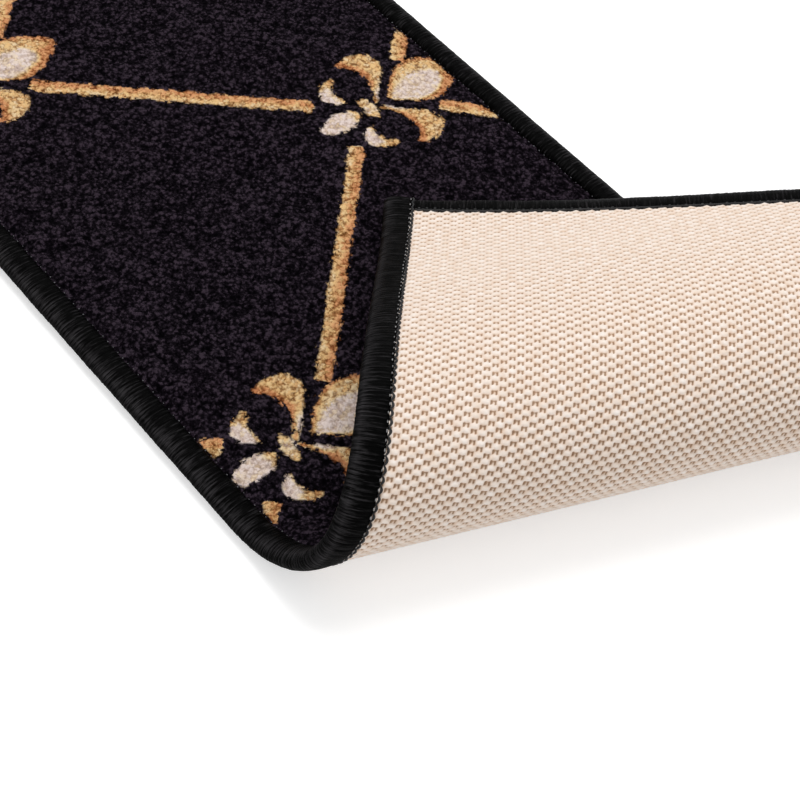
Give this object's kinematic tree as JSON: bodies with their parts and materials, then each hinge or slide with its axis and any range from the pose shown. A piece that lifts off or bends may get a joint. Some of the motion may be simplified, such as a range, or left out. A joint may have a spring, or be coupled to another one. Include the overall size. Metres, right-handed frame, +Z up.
{
  "type": "stair tread rug",
  "caption": "Narrow cut-pile stair tread rug with a printed lily trellis and bound edges, lying with one end folded over to show its woven back.",
  "frame": {"origin": "under the middle of the rug's outline as it lies, on the surface it lies on", "axes": "+X along the strip towards the folded end, +Y across the strip towards the side where the folded end stands out, +Z up"},
  "size_m": [0.5326, 0.2906, 0.0621],
  "materials": {
    "backing_yarn": "cream basket weave with tan gaps",
    "dark_pile": "short cut pile, almost black with a plum cast",
    "binding_yarn": "black overlocking yarn with a soft sheen",
    "gold_print": "gold to bronze print on the cut pile",
    "ivory_print": "ivory print on the cut pile"
  },
  "bodies": {
    "root": {"edge_binding": "binding_yarn", "lily_core_1": "ivory_print", "lily_core_2": "ivory_print", "lily_core_3": "ivory_print", "lily_core_4": "ivory_print", "lily_core_5": "ivory_print", "lily_core_6": "ivory_print", "lily_curls_1": "gold_print", "lily_curls_2": "gold_print", "lily_curls_3": "gold_print", "lily_curls_4": "gold_print", "lily_curls_5": "gold_print", "lily_curls_6": "gold_print", "lily_petal_1": "gold_print", "lily_petal_2": "gold_print", "lily_petal_3": "gold_print", "lily_petal_4": "gold_print", "lily_petal_5": "gold_print", "lily_petal_6": "gold_print", "lily_tails_1": "ivory_print", "lily_tails_2": "ivory_print", "lily_tails_3": "ivory_print", "lily_tails_4": "ivory_print", "lily_tails_5": "ivory_print", "lily_tails_6": "ivory_print", "pile_face": "dark_pile", "trellis_bar_1": "gold_print", "trellis_bar_10": "gold_print", "trellis_bar_11": "gold_print", "trellis_bar_12": "gold_print", "trellis_bar_13": "gold_print", "trellis_bar_14": "gold_print", "trellis_bar_15": "gold_print", "trellis_bar_16": "gold_print", "trellis_bar_17": "gold_print", "trellis_bar_18": "gold_print", "trellis_bar_19": "gold_print", "trellis_bar_2": "gold_print", "trellis_bar_3": "gold_print", "trellis_bar_4": "gold_print", "trellis_bar_5": "gold_print", "trellis_bar_6": "gold_print", "trellis_bar_7": "gold_print", "trellis_bar_8": "gold_print", "trellis_bar_9": "gold_print", "woven_backing": "backing_yarn"}
  },
  "joints": []
}
